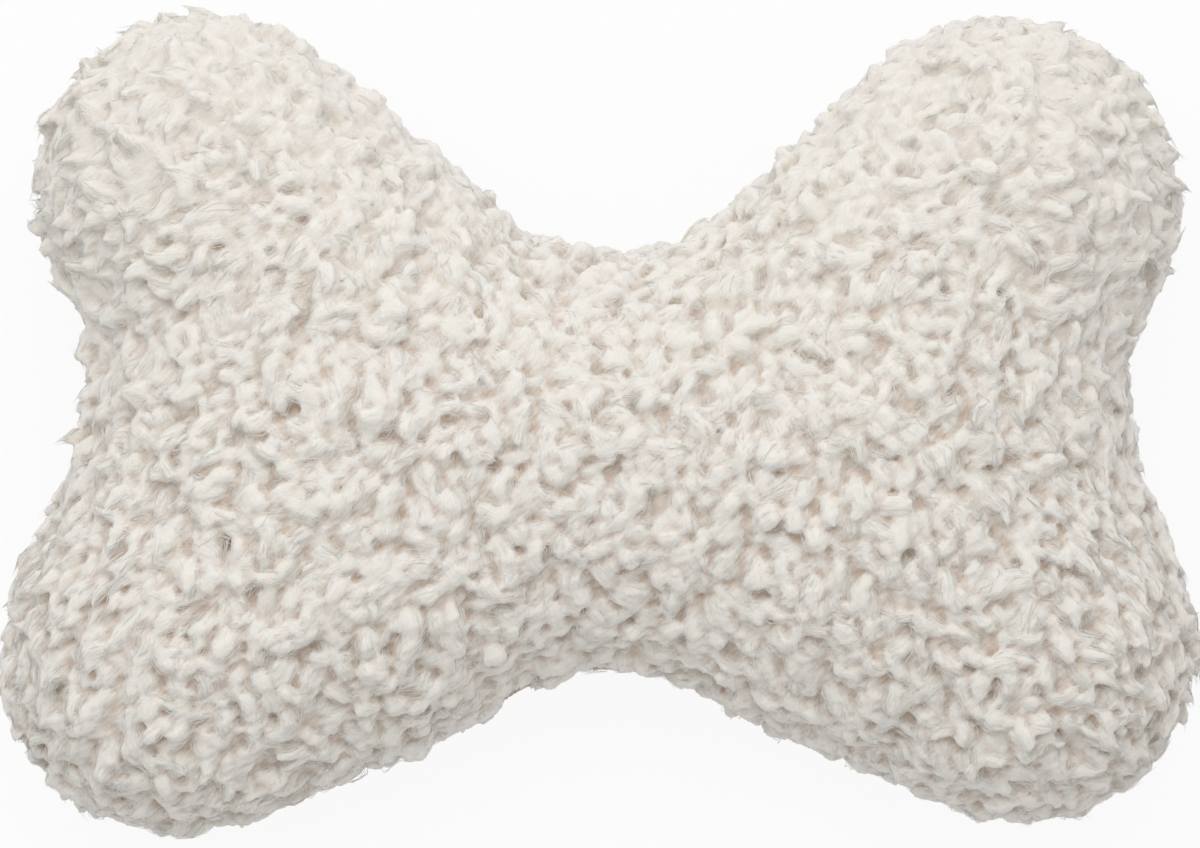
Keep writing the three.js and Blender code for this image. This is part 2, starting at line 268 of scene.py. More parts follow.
def mesh_of_many(name, points, faces):
    """One mesh of many alike shapes: points (many, each, 3), and the faces of one shape."""
    many, each, _ = points.shape
    sizes = np.array([len(face) for face in faces])
    corners = np.concatenate([np.array(face) for face in faces])
    starts = np.concatenate([[0], np.cumsum(sizes)[:-1]])
    all_corners = (np.arange(many)[:, None] * each + corners).ravel()
    all_starts = (np.arange(many)[:, None] * len(corners) + starts).ravel()
    mesh = bpy.data.meshes.new(name)
    mesh.vertices.add(many * each)
    mesh.vertices.foreach_set("co", points.ravel())
    mesh.loops.add(len(all_corners))
    mesh.loops.foreach_set("vertex_index", all_corners.astype(np.int32))
    mesh.polygons.add(many * len(faces))
    mesh.polygons.foreach_set("loop_start", all_starts.astype(np.int32))
    mesh.update(calc_edges=True)
    thing = bpy.data.objects.new(name, mesh)
    bpy.context.scene.collection.objects.link(thing)
    return thing


def smooth(thing):
    thing.data.polygons.foreach_set("use_smooth", np.ones(len(thing.data.polygons), bool))


def set_map(thing, places):
    """Writes the map that the pile's colours are read by, with a place for each face corner."""
    layer = thing.data.uv_layers.new(name="OFBake")
    layer.data.foreach_set("uv", places.astype(np.float32).ravel())


backing = twin_of(stuffed_bone, "backing")
swell(backing, -PILE_HEIGHT)
soften(backing, BACKING_SOFTENING_STEPS)
undergrowth = twin_of(stuffed_bone, "undergrowth")
modify(undergrowth, "SUBSURF", levels=1, render_levels=1)
bumps = wander(read_points(undergrowth), UNDERGROWTH_GRAIN, UNDERGROWTH_SEED, UNDERGROWTH_WAVES)
swell(undergrowth, bumps[:, 0] * UNDERGROWTH_BUMP - UNDERGROWTH_DEPTH)

roots, upright = scatter(backing, CURL_SPACING, CURL_TRIES)
curl_count = len(roots)
brushed = np.clip((np.abs(roots[:, 0]) - SHAFT_REACH) / (KNOB_REACH - SHAFT_REACH), 0, 1)
uneven = wander(roots, BRUSHING_GRAIN, BRUSHING_SEED)[:, 0]
brushed = np.clip(brushed + BRUSHING_SPREAD * uneven, 0, 1)
# Where the pile is calm its painted crevice shade also fades: along the top, as if the light from above
# fell into the crevices, and round the ends.
past_end = np.maximum(np.abs(roots[:, 0]) - CALM_FAINTER_SHADE_END_START, 0)
calm_and_fainter_shade = CALM_FAINTER_SHADE_SHARE * np.clip(roots[:, 1] / CALM_FAINTER_SHADE_WIDTH + past_end / CALM_FAINTER_SHADE_END_REACH, 0, 1)


def between(on_shaft, on_knobs):
    return on_shaft * (1 - brushed) + on_knobs * brushed


# Which way the curls lean: outwards, down the bone, and each patch and curl its own way. Here and
# below, a lean, length, tilt or width has one value on the shaft and one on the knobs, while shares
# and spreads have a least and a most.
OUTWARD_STRETCH = (1, 1, 0.5)
OUTWARD_LEAN = (0.15, 1.1)
DROOP = (0, -0.5, 0)
MATTED_LEAN = (0.9, 0.42)
MATTED_PATCH = 3.5 * MM
MATTED_SEED = 3
PATCH_SHARE = 0.7
LONE_SHARE = 0.7

outward = unit((roots - (0, 0, SEAM_HEIGHT)) * OUTWARD_STRETCH)
matted = wander(roots, MATTED_PATCH, MATTED_SEED) * PATCH_SHARE
matted += rng.normal(size=(curl_count, 3)) * LONE_SHARE
lean = outward * between(*OUTWARD_LEAN)[:, None] + DROOP + matted * between(*MATTED_LEAN)[:, None]
lean = unit(lean - upright * (lean * upright).sum(1, keepdims=True))
across = np.cross(upright, lean)

# How each curl bends: its tilt from upright at root and tip in degrees, and its sway to the sides.
CURL_LENGTH_IN_MM = (7.6, 9.8)
CURL_LENGTH_SHARES = (0.8, 1.25)
ROOT_TILT = (20, 42)
ROOT_TILT_SPREAD = (-15, 15)
CALM_TILT = 18
TIP_TILT = (115, 95)
TIP_TILT_SPREAD = (-18, 18)
SWAY_TURN = 3.5
SWAY_START = (0, 2)

share = np.linspace(0, 1, CURL_KNOTS)
length = rng.uniform(*CURL_LENGTH_SHARES, curl_count) * between(*CURL_LENGTH_IN_MM) * MM
tilt = np.radians(rng.uniform(*ROOT_TILT_SPREAD, curl_count) + between(*ROOT_TILT) + CALM_TILT * calm_and_fainter_shade)
final_tilt = np.radians(rng.uniform(*TIP_TILT_SPREAD, curl_count) + between(*TIP_TILT))
bend = tilt[:, None] + (final_tilt - tilt)[:, None] * share
sway_size = rng.uniform(-1, 1, curl_count)[:, None]
sway_start = rng.uniform(*SWAY_START, curl_count)[:, None]
sway = sway_size * np.sin(share * SWAY_TURN + sway_start)
heading = np.stack([np.sin(bend) * np.cos(sway), np.sin(bend) * np.sin(sway), np.cos(bend)], -1)
steps = heading * (length / (CURL_KNOTS - 1))[:, None, None]
path = np.cumsum(steps, 1) - steps[:, :1]
curls = (
    roots[:, None, :]
    + lean[:, None, :] * path[..., 0:1]
    + across[:, None, :] * path[..., 1:2]
    + upright[:, None, :] * path[..., 2:3]
)

# How thick each curl is from root to tip: blunt on the shaft, pointed on the knobs, lumpy all over.
BLUNT_SHARES = ([0, 0.15, 0.5, 0.8, 0.9, 1], [0.5, 0.8, 1, 0.95, 0.8, 0.45])
POINTED_SHARES = ([0, 0.15, 0.45, 0.8, 1], [0.5, 0.85, 1, 0.6, 0.15])
CURL_WIDTH_IN_MM = (2.7, 2.1)
CURL_WIDTH_SHARES = (0.7, 1.3)
LUMP_SHARES = (0.8, 1.2)
HEIGHT_SHARES = (0.6, 0.85)
CALM_FLATTENING = 0.4
PLY_DISTANCE_SHARE = 0.36
PLY_RISE_SHARE = 0.8
PLY_WINDING = (-3, 3)
PLY_RADIUS_SHARES = (0.62, 0.82)
TONES = 8

blunt = np.interp(share, *BLUNT_SHARES)
pointed = np.interp(share, *POINTED_SHARES)
fatness = rng.uniform(*CURL_WIDTH_SHARES, curl_count) * between(*CURL_WIDTH_IN_MM) * MM
curl_width = fatness[:, None] * (blunt + (pointed - blunt) * brushed[:, None])
curl_width *= rng.uniform(*LUMP_SHARES, (curl_count, CURL_KNOTS))
flatness = rng.uniform(*HEIGHT_SHARES, curl_count) * (1 - CALM_FLATTENING * calm_and_fainter_shade)
curl_height = curl_width * flatness[:, None]
tone = rng.integers(0, TONES, curl_count)

curl_sideways, curl_upwards = directions(curls, across)
ply_curl = np.repeat(np.arange(curl_count), PLIES)
wound = rng.uniform(*PLY_WINDING, curl_count)[ply_curl][:, None] * share
wound += np.tile(np.arange(PLIES) * 2 * math.pi / PLIES, curl_count)[:, None]
apart = PLY_DISTANCE_SHARE * curl_width[ply_curl]
plies = (
    curls[ply_curl]
    + curl_sideways[ply_curl] * (apart * np.cos(wound))[..., None]
    + curl_upwards[ply_curl] * (apart * PLY_RISE_SHARE * np.sin(wound))[..., None]
)
ply_radius = curl_width[ply_curl] * rng.uniform(*PLY_RADIUS_SHARES, len(ply_curl))[:, None]
ply_points = tube_points(plies, across[ply_curl], ply_radius, ply_radius, CURL_SIDES)
on_front = roots[:, 2] >= SEAM_HEIGHT

curl_tree = KDTree(curl_count * CURL_KNOTS)
for number, knot in enumerate(curls.reshape(-1, 3)):
    curl_tree.insert(knot, number)
curl_tree.balance()

# The colours carry painted shade, following how high the pile stands over its surroundings: deep in a
# crevice it is painted warm and dark. The steps smooth the crevices out, and the depth below that
# smooth shape takes the map from its top to its bottom.
CREVICE_WIDTH_STEPS = 44
CREVICE_SHADE_DEPTH = 2.05 * MM
LEVEL_PILE_SHARE = 0.6
MAP_EDGE_SHARE = 0.01
CURL_REACH_SHARE = 0.45


def map_pile(panel):
    """Maps each face by its height over the crevices round it, which sets its painted shade, and by its
    place across its curl.
    """
    points = read_points(panel)
    relaxed = twin_of(panel, "relaxed")
    soften(relaxed, CREVICE_WIDTH_STEPS)
    sunk = ((read_points(relaxed) - points) * read_normals(panel)).sum(1)
    bpy.data.objects.remove(relaxed)
    nearest_knot = np.array([curl_tree.find(point)[1] for point in points])
    corners = np.empty(len(panel.data.loops), int)
    panel.data.loops.foreach_get("vertex_index", corners)
    starts = np.empty(len(panel.data.polygons), int)
    sizes = np.empty(len(panel.data.polygons), int)
    panel.data.polygons.foreach_get("loop_start", starts)
    panel.data.polygons.foreach_get("loop_total", sizes)
    knot = np.repeat(nearest_knot[corners[starts]], sizes)
    curl = knot // CURL_KNOTS
    aside = points[corners] - curls[curl, knot % CURL_KNOTS]
    place = np.clip((aside * across[curl]).sum(1) / fatness[curl], -1, 1)
    # Painted shade: places sunk below the smooth shape get the warm crevice colour, faded where the pile
    # is calm.
    high = LEVEL_PILE_SHARE - sunk[corners] * (1 - calm_and_fainter_shade[curl]) / CREVICE_SHADE_DEPTH
    high = np.clip(high, MAP_EDGE_SHARE, 1 - MAP_EDGE_SHARE)
    set_map(panel, np.stack([high, (tone[curl] + 0.5 + CURL_REACH_SHARE * place) / TONES], 1))


def press_on_floor(thing):
    """Flattens the pile that the toy lies on, so that none of it dips into the floor."""
    points = read_points(thing)
    points[:, 2] = np.maximum(points[:, 2], PRESSED_GAP)
    thing.data.vertices.foreach_set("co", points.ravel())
    thing.data.update()


def grow_panel(name, above, growing, cell):
    """One panel's fleece: half the undergrowth with its curls, regrown as one skin and hollowed."""
    half = twin_of(undergrowth, name + "_undergrowth")
    select_only(half)
    bpy.ops.object.mode_set(mode="EDIT")
    bpy.ops.mesh.select_all(action="SELECT")
    bpy.ops.mesh.bisect(
        plane_co=(0, 0, SEAM_HEIGHT),
        plane_no=(0, 0, 1),
        use_fill=True,
        clear_inner=above,
        clear_outer=not above,
    )
    bpy.ops.object.mode_set(mode="OBJECT")
    pile = mesh_of_many(name + "_pile", ply_points[growing[ply_curl]], tube_faces(CURL_KNOTS, CURL_SIDES))
    panel = grown_together([half, pile], name, cell)
    soften(panel, 1)
    swell(panel, wander(read_points(panel), COTTON_GRAIN, COTTON_SEED)[:, 0] * COTTON_BUMP)
    press_on_floor(panel)
    modify(panel, "BOOLEAN", operation="DIFFERENCE", object=lining, solver="MANIFOLD")
    map_pile(panel)
    smooth(panel)
    return panel


class Value:
    """A shader value, so that sums and products of sockets can be written as Python."""

    def __init__(self, tree, socket):
        self.tree = tree
        self.socket = socket

    def math(self, operation, first, second):
        return add_node(self.tree, "ShaderNodeMath", {"operation": operation}, {0: first, 1: second})

    def __add__(self, other):
        return self.math("ADD", self, other)

    def __radd__(self, other):
        return self.math("ADD", other, self)

    def __sub__(self, other):
        return self.math("SUBTRACT", self, other)

    def __rsub__(self, other):
        return self.math("SUBTRACT", other, self)

    def __mul__(self, other):
        return self.math("MULTIPLY", self, other)

    def __rmul__(self, other):
        return self.math("MULTIPLY", other, self)


def add_node(tree, kind, settings, inputs, output=0):
    """Adds a shader node: its settings first, then the values or links of its sockets."""
    made = tree.nodes.new(kind)
    for key, value in settings.items():
        setattr(made, key, value)
    for key, value in inputs.items():
        if isinstance(value, Value):
            tree.links.new(value.socket, made.inputs[key])
        else:
            made.inputs[key].default_value = value
    return Value(tree, made.outputs[output])


def new_material(name):
    material = bpy.data.materials.new(name)
    material.use_nodes = True
    material.node_tree.nodes.clear()
    return material, material.node_tree


def finish_material(tree, surface):
    end = tree.nodes.new("ShaderNodeOutputMaterial")
    tree.links.new(surface.socket, end.inputs["Surface"])


def finish_surface(tree, inputs):
    """Ends a material in one principled shader with these inputs."""
    finish_material(tree, add_node(tree, "ShaderNodeBsdfPrincipled", {}, inputs))


def noise(tree, place, scale, detail):
    return add_node(tree, "ShaderNodeTexNoise", {}, {"Vector": place, "Scale": scale, "Detail": detail})


def bump(tree, height, strength, distance):
    inputs = {"Height": height, "Strength": strength, "Distance": distance}
    return add_node(tree, "ShaderNodeBump", {}, inputs)


def stretch(tree, place, amounts):
    return add_node(tree, "ShaderNodeVectorMath", {"operation": "MULTIPLY"}, {0: place, 1: amounts})


def blend_colours(tree, factor, first, second):
    return add_node(
        tree,
        "ShaderNodeMix",
        {"data_type": "RGBA", "clamp_factor": True},
        {0: factor, 6: (*first, 1), 7: (*second, 1)},
        output=2,
    )


# Painted shade: the warm colour stands for the shade deep between the curls, and the cream is the
# fleece's own colour.
PAINTED_CREVICE_SHADE = (0.575, 0.45, 0.358)
CREAM_TIP = (0.82, 0.795, 0.747)
STREAK_STRETCH = (4, 110, 1)
FULL_SHADE_LEVEL = 0.1
UNSHADED_LEVEL = 0.75
DEEPEST_SHADE_PALENESS = 0.1


def fleece_material(name, streak_strength, softness):
    """Cream where the pile stands high, painted warm shade down in its crevices, and fine streaks along
    the fibres.
    """
    material, tree = new_material(name)
    place = add_node(tree, "ShaderNodeUVMap", {"uv_map": "OFBake"}, {})
    high = add_node(tree, "ShaderNodeSeparateXYZ", {}, {0: place})
    streak = noise(tree, stretch(tree, place, STREAK_STRETCH), 1.0, 2.0)
    shade_range = {0: high, 1: FULL_SHADE_LEVEL, 2: UNSHADED_LEVEL}
    unshaded_share = add_node(tree, "ShaderNodeMapRange", {"interpolation_type": "SMOOTHSTEP"}, shade_range)
    pale = (1 - DEEPEST_SHADE_PALENESS) * unshaded_share + (streak - 0.5) * streak_strength + DEEPEST_SHADE_PALENESS
    finish_surface(
        tree,
        {
            "Base Color": blend_colours(tree, pale, PAINTED_CREVICE_SHADE, CREAM_TIP),
            "Roughness": 0.9,
            "Normal": bump(tree, streak, 0.7, 0.5 * MM),
            "Specular IOR Level": 0.1,
            "Subsurface Weight": softness,
            "Subsurface Radius": (1.0, 0.85, 0.7),
            "Subsurface Scale": 0.7 * MM,
            "Sheen Weight": 0.25,
            "Sheen Roughness": 0.5,
        },
    )
    return material


def dress(piece, material):
    piece.data.materials.clear()
    piece.data.materials.append(material)


fleece = fleece_material("fleece", streak_strength=0.5, softness=0.7)
front_fleece = grow_panel("front_fleece", True, on_front, FRONT_CELL)
back_fleece = grow_panel("back_fleece", False, ~on_front, BACK_CELL)
for panel, cover in ((front_fleece, "front_cover"), (back_fleece, "back_cover")):
    dress(panel, fleece)
    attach(panel, "stuffed_bone")
    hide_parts(cover)

# Loose fibres: the finest part of the pile, single hairs that follow the curls, stand off their
# skin and overshoot their tips. They are the same cream fibre as the curls.
FRONT_FIBRES_PER_CURL = 11
BACK_FIBRES_PER_CURL = 3
FIBRE_KNOTS = 4
FIBRE_SIDES = 3
FIBRE_RADIUS = 0.082 * MM
FIBRE_WAVE = 0.12 * MM
FIBRE_WAVE_GRAIN = 1.2 * MM
FIBRE_WAVE_SEED = 21
FIBRE_START_SHARES = (0.05, 0.4)
FIBRE_END_SHARES = (0.9, 1.2)
FIBRE_WINDING = (-1.5, 1.5)
FIBRE_STAND_SHARES = (0.97, 1.3)
FIBRE_FLYING_SHARE = 0.12
FIBRE_RADIUS_SHARES = (0.6, 1.4)
FIBRE_TAPER_SHARES = ([0, 0.3, 0.7, 1], [0.4, 1, 0.8, 0.25])
FIBRE_PALENESS = 0.9
LEAST_STAND = 0.2 * MM

fibres_per_curl = np.where(on_front, FRONT_FIBRES_PER_CURL, BACK_FIBRES_PER_CURL)
fibre_curl = np.repeat(np.arange(curl_count), fibres_per_curl)
fibre_count = len(fibre_curl)
fibre_share = np.linspace(0, 1, FIBRE_KNOTS)
begin = rng.uniform(*FIBRE_START_SHARES, fibre_count)[:, None]
end = rng.uniform(*FIBRE_END_SHARES, fibre_count)[:, None]
reach = (begin + (end - begin) * fibre_share) * (CURL_KNOTS - 1)
low_knot = np.clip(np.floor(reach).astype(int), 0, CURL_KNOTS - 2)
past_knot = reach - low_knot


def along_curl(values):
    """Values of the curls, read off along their fibres and past the curls' tips."""
    low = values[fibre_curl[:, None], low_knot]
    high = values[fibre_curl[:, None], low_knot + 1]
    weight = past_knot[..., None] if values.ndim == 3 else past_knot
    return low + (high - low) * weight


turned = rng.uniform(0, 1, fibre_count)[:, None] * math.pi
turned = turned + rng.uniform(*FIBRE_WINDING, fibre_count)[:, None] * fibre_share
stand = rng.uniform(*FIBRE_STAND_SHARES, fibre_count)[:, None]
stand = stand + rng.exponential(FIBRE_FLYING_SHARE, fibre_count)[:, None] * fibre_share**2
aside = np.maximum(along_curl(curl_width), LEAST_STAND) * stand * np.cos(turned)
above = np.maximum(along_curl(curl_height), LEAST_STAND) * stand * np.sin(turned)
fibres = (
    along_curl(curls)
    + along_curl(curl_sideways) * aside[..., None]
    + along_curl(curl_upwards) * above[..., None]
)
waves = wander(fibres.reshape(-1, 3), FIBRE_WAVE_GRAIN, FIBRE_WAVE_SEED).reshape(fibres.shape)
fibres += waves * FIBRE_WAVE
radius = rng.uniform(*FIBRE_RADIUS_SHARES, fibre_count)[:, None] * FIBRE_RADIUS
radius = radius * np.interp(fibre_share, *FIBRE_TAPER_SHARES)
fibre_points = tube_points(fibres, across[fibre_curl], radius, radius, FIBRE_SIDES)
below_floor = np.minimum(fibre_points[..., 2].min(1) - PRESSED_GAP, 0)
fibre_points[..., 2] -= below_floor[:, None]
fibre_material = fleece_material("loose_fibre", streak_strength=0.2, softness=0.0)
fibre_faces = tube_faces(FIBRE_KNOTS, FIBRE_SIDES)
for name, chosen in (("front_fibres", on_front), ("back_fibres", ~on_front)):
    mine = chosen[fibre_curl]
    hairs = mesh_of_many(name, fibre_points[mine], fibre_faces)
    hair_of_loop = np.repeat(fibre_curl[mine], sum(len(face) for face in fibre_faces))
    tip_pale = np.full(len(hair_of_loop), FIBRE_PALENESS)
    set_map(hairs, np.stack([tip_pale, (tone[hair_of_loop] + 0.5) / TONES], 1))
    smooth(hairs)
    dress(hairs, fibre_material)
    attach(hairs, "stuffed_bone")

# Filling: six wads of white crimped polyester fibre, pushed into the shaft and the knobs. Each is
# the frame's wad with a fluffy skin of short crimped fibres that spring back out of it.
WAD_CELL = 2.5 * MM
WAD_FLUFF = 0.7 * MM
WAD_GRAIN = 2.2 * MM
WAD_SEED = 40
WAD_FIBRES = 400
WAD_FIBRE_SPACING = 0.1 * MM
WAD_FIBRE_LENGTH = 9 * MM
WAD_FIBRE_RISE = 0.25
WAD_FIBRE_KNOTS = 6
WAD_FIBRE_RADIUS = 0.12 * MM
CRIMP = 0.35 * MM
CRIMP_SEED = 60
SHADED_WAD = (0.80, 0.80, 0.78)
WHITE_WAD = (0.90, 0.90, 0.885)


def place_on_object(tree):
    return add_node(tree, "ShaderNodeTexCoord", {}, {}, output="Object")


filling_material, tree = new_material("crimped_fibre")
cloudy = noise(tree, place_on_object(tree), 260.0, 4.0)
finish_surface(
    tree,
    {
        "Base Color": blend_colours(tree, cloudy * 1.6 - 0.3, SHADED_WAD, WHITE_WAD),
        "Roughness": 0.85,
        "Normal": bump(tree, cloudy, 0.8, 0.6 * MM),
        "Subsurface Weight": 0.5,
        "Subsurface Radius": (1.0, 1.0, 1.0),
        "Subsurface Scale": 1.5 * MM,
        "Sheen Weight": 0.3,
    },
)
for number, filling in enumerate(FILLINGS):
    wad = copy_of_node(filling, "wad")
    modify(wad, "REMESH", mode="VOXEL", voxel_size=WAD_CELL, adaptivity=0)
    fluff = wander(read_points(wad), WAD_GRAIN, WAD_SEED + number)[:, 0]
    swell(wad, (fluff - 1) * WAD_FLUFF)
    starts, springing = scatter(wad, WAD_FIBRE_SPACING, WAD_FIBRES)
    along = unit(np.cross(springing, rng.normal(size=springing.shape)) + springing * WAD_FIBRE_RISE)
    shares = np.linspace(-0.5, 0.5, WAD_FIBRE_KNOTS)[None, :, None]
    lines = starts[:, None, :] + along[:, None, :] * shares * WAD_FIBRE_LENGTH
    lines += wander(lines.reshape(-1, 3), WAD_GRAIN, CRIMP_SEED + number).reshape(lines.shape) * CRIMP
    slim = np.full(lines.shape[:2], WAD_FIBRE_RADIUS)
    strand_points = tube_points(lines, springing, slim, slim, FIBRE_SIDES)
    strands = mesh_of_many("strands", strand_points, tube_faces(WAD_FIBRE_KNOTS, FIBRE_SIDES))
    select_only(wad, strands)
    bpy.ops.object.join()
    wad.name = filling.replace("filling", "wad")
    smooth(wad)
    dress(wad, filling_material)
    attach(wad, "stuffed_bone")
    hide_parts(filling)

# Sewing thread: cream spun polyester of two plies. Two threads lock all along the seam, one in
# each allowance, and a third swings from lip to lip where the filling gap was sewn shut by hand.
PLY_TWIST = 3.2 * MM
PLY_RADIUS = 0.19 * MM
STEPS_PER_TWIST = 6
THREAD_SIDES = 5
FRAME_THREAD_SIDES = 6
DARK_THREAD = (0.62, 0.54, 0.45)
PALE_THREAD = (0.84, 0.78, 0.69)

thread_material, tree = new_material("spun_thread")
lint = noise(tree, place_on_object(tree), 5200.0, 3.0)
finish_surface(
    tree,
    {
        "Base Color": blend_colours(tree, lint * 1.5 - 0.25, DARK_THREAD, PALE_THREAD),
        "Roughness": 0.6,
        "Normal": bump(tree, lint, 0.5, 0.1 * MM),
        "Sheen Weight": 0.3,
    },
)


def thread_route(node_name, closed):
    """The centreline of a frame thread, from the corners of its sections."""
    corners = read_points(copy_of_node(node_name, "thread_corners"))
    bpy.data.objects.remove(bpy.data.objects["thread_corners"])
    from_middle = corners - corners.mean(0)
    order = np.arctan2(from_middle[:, 1], from_middle[:, 0]) if closed else corners[:, 0]
    sections = len(corners) // FRAME_THREAD_SIDES
    ordered = corners[np.argsort(order)][: sections * FRAME_THREAD_SIDES]
    return ordered.reshape(sections, FRAME_THREAD_SIDES, 3).mean(1)


def twisted_thread(name, node_name, closed):
    """Two plies that wind round each other along a thread of the frame."""
    route = thread_route(node_name, closed)
    if closed:
        route = np.concatenate([route, route[:1]])
    travelled = np.concatenate([[0], np.cumsum(np.linalg.norm(np.diff(route, axis=0), axis=1))])
    turns = round(travelled[-1] / PLY_TWIST)
    places = np.linspace(0, travelled[-1], turns * STEPS_PER_TWIST + 1)
    line = np.stack([np.interp(places, travelled, route[:, k]) for k in range(3)], 1)
    line = np.stack([line, line])
    level = np.array([(0, 0, 1), (0, 0, 1)])
    sideways, upwards = directions(line, level)
    wound = places / PLY_TWIST * 2 * math.pi + np.array([[0], [math.pi]])
    line = line + (sideways * np.cos(wound)[..., None] + upwards * np.sin(wound)[..., None]) * PLY_RADIUS
    slim = np.full(line.shape[:2], PLY_RADIUS)
    faces = tube_faces(line.shape[1], THREAD_SIDES)
    thread = mesh_of_many(name, tube_points(line, level, slim, slim, THREAD_SIDES), faces)
    smooth(thread)
    dress(thread, thread_material)
    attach(thread, "stuffed_bone")
    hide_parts(node_name)


twisted_thread("needle_thread", "seam_needle_thread", closed=True)
twisted_thread("bobbin_thread", "seam_bobbin_thread", closed=True)
twisted_thread("ladder_stitches", "closing_stitch_thread", closed=False)

# Squeaker drum: blown from milky soft polyethylene, with a fold round its side that lets it flatten
# when it is bitten, and a neck in its top for the reed plug. It lies between the shaft's wads.
DRUM_WALL = 1 * MM
DRUM_CORNER = 6 * MM
DRUM_FOLD = 1.6 * MM
DRUM_GROOVE = 0.3 * MM
DRUM_GROOVE_PLACES = (0.45, 0.6)
DRUM_GROOVE_WIDTH = 0.8 * MM
NECK_RADIUS = 5.3 * MM
NECK_LIP = 0.4 * MM
NECK_EASE = 0.3 * NECK_LIP
TURN_STEPS = 96
ARC_STEPS = 8
CLOSING_DISTANCE = 0.002 * MM
SHARPEST_SMOOTH_EDGE = math.radians(40)
GREY_MILKY = (0.66, 0.70, 0.70)
WHITE_MILKY = (0.76, 0.79, 0.79)
drum_low, drum_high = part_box("squeaker_bulb")
drum_middle = (drum_low + drum_high) / 2
drum_radius = (drum_high.x - drum_low.x) / 2
drum_half = (drum_high.z - drum_low.z) / 2


def close_up(thing):
    """Merges the points that meet and turns all faces outwards."""
    select_only(thing)
    bpy.ops.object.mode_set(mode="EDIT")
    bpy.ops.mesh.select_all(action="SELECT")
    bpy.ops.mesh.remove_doubles(threshold=CLOSING_DISTANCE)
    bpy.ops.mesh.normals_make_consistent(inside=False)
    bpy.ops.object.mode_set(mode="OBJECT")


def smooth_but_edges(thing):
    """Shades a moulded piece smoothly and leaves its sharp edges sharp."""
    select_only(thing)
    bpy.ops.object.shade_smooth_by_angle(angle=SHARPEST_SMOOTH_EDGE)


def piece_from(name, points, edges, faces):
    mesh = bpy.data.meshes.new(name)
    mesh.from_pydata(points, edges, faces)
    thing = bpy.data.objects.new(name, mesh)
    bpy.context.scene.collection.objects.link(thing)
    return thing


def turned_piece(name, outline, middle):
    """Turns an outline of distances from an upright axis and heights. On the axis it stays open."""
    count = len(outline)
    on_axis = outline[0][0] == 0
    edges = [(i, (i + 1) % count) for i in range(count - 1 if on_axis else count)]
    thing = piece_from(name, [(far, 0, high) for far, high in outline], edges, [])
    modify(thing, "SCREW", steps=TURN_STEPS, render_steps=TURN_STEPS)
    thing.location = middle
    select_only(thing)
    bpy.ops.object.transform_apply(location=True, rotation=False, scale=False)
    close_up(thing)
    smooth_but_edges(thing)
    return thing


def drum_side(inset):
    """The drum's side from bottom to top: a rounded corner, the fold and a rounded corner."""
    radius = drum_radius - inset
    corner = DRUM_CORNER - inset
    arc = [math.pi / 2 * step / ARC_STEPS for step in range(ARC_STEPS + 1)]
    centre = drum_radius - DRUM_CORNER
    straight = drum_half - DRUM_CORNER
    low = [(centre + corner * math.sin(a), -straight - corner * math.cos(a)) for a in arc]
    heights = [straight * (step / ARC_STEPS - 1) for step in range(1, 2 * ARC_STEPS)]
    fold = [(radius - DRUM_FOLD * math.cos(math.pi / 2 * high / straight) ** 2, high) for high in heights]
    high = [(centre + corner * math.cos(a), straight + corner * math.sin(a)) for a in arc]
    return low + fold + high


def grooves(height, down):
    """Two rings pressed into a flat end of the drum."""
    points = []
    for share_out in DRUM_GROOVE_PLACES:
        middle = share_out * drum_radius
        points += [
            (middle - DRUM_GROOVE_WIDTH, height),
            (middle, height + down * DRUM_GROOVE),
            (middle + DRUM_GROOVE_WIDTH, height),
        ]
    return points


neck = [
    (NECK_RADIUS + NECK_LIP, drum_half),
    (NECK_RADIUS + NECK_EASE, drum_half - NECK_EASE),
    (NECK_RADIUS, drum_half - NECK_LIP),
    (NECK_RADIUS, drum_half - DRUM_WALL),
]
drum = turned_piece(
    "squeaker_drum",
    [(0, -drum_half)]
    + grooves(-drum_half, 1)
    + drum_side(0)
    + grooves(drum_half, -1)[::-1]
    + neck
    + drum_side(DRUM_WALL)[::-1]
    + [(0, DRUM_WALL - drum_half)],
    drum_middle,
)
soft_plastic, tree = new_material("milky_polyethylene")
place = place_on_object(tree)
cloud = noise(tree, place, 90.0, 3.0)
grain = noise(tree, place, 1600.0, 2.0)
finish_surface(
    tree,
    {
        "Base Color": blend_colours(tree, cloud, GREY_MILKY, WHITE_MILKY),
        "Roughness": 0.36 + grain * 0.15,
        "Normal": bump(tree, grain, 0.25, 0.05 * MM),
        "Subsurface Weight": 0.5,
        "Subsurface Radius": (1.0, 1.0, 1.0),
        "Subsurface Scale": 1.2 * MM,
    },
)
dress(drum, soft_plastic)
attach(drum, "stuffed_bone")
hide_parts("squeaker_bulb")
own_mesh(drum)

# Reed plug and clip: hard white mouldings. The plug's rim sits on the drum and its barb holds
# under the wall of the neck, and the clip is a half-round bar in its bore that grips the reed.
PLUG_RADIUS = 5 * MM
PLUG_BORE = 3.4 * MM
RIM_THICKNESS = 1.2 * MM
BARB = 0.8 * MM
BARB_HEIGHT = 1.4 * MM
BARB_UNDER_RIM = 1.6 * MM
MOULD_EASE = 0.2 * MM
CLIP_FLAT = -0.2 * MM
CLIP_EDGE = 0.15 * MM
EDGE_STEPS = 2
CHANNEL_RADIUS = 1.1 * MM
CHANNEL_DEPTH = 0.5 * MM
HARD_GREY = (0.80, 0.80, 0.78)
HARD_WHITE = (0.86, 0.86, 0.84)
plug_low, plug_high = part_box("squeaker_reed_plug")
plug_middle = Vector(((plug_low.x + plug_high.x) / 2, (plug_low.y + plug_high.y) / 2, 0))
rim_radius = (plug_high.x - plug_low.x) / 2
barb_top = plug_high.z - RIM_THICKNESS - BARB_UNDER_RIM


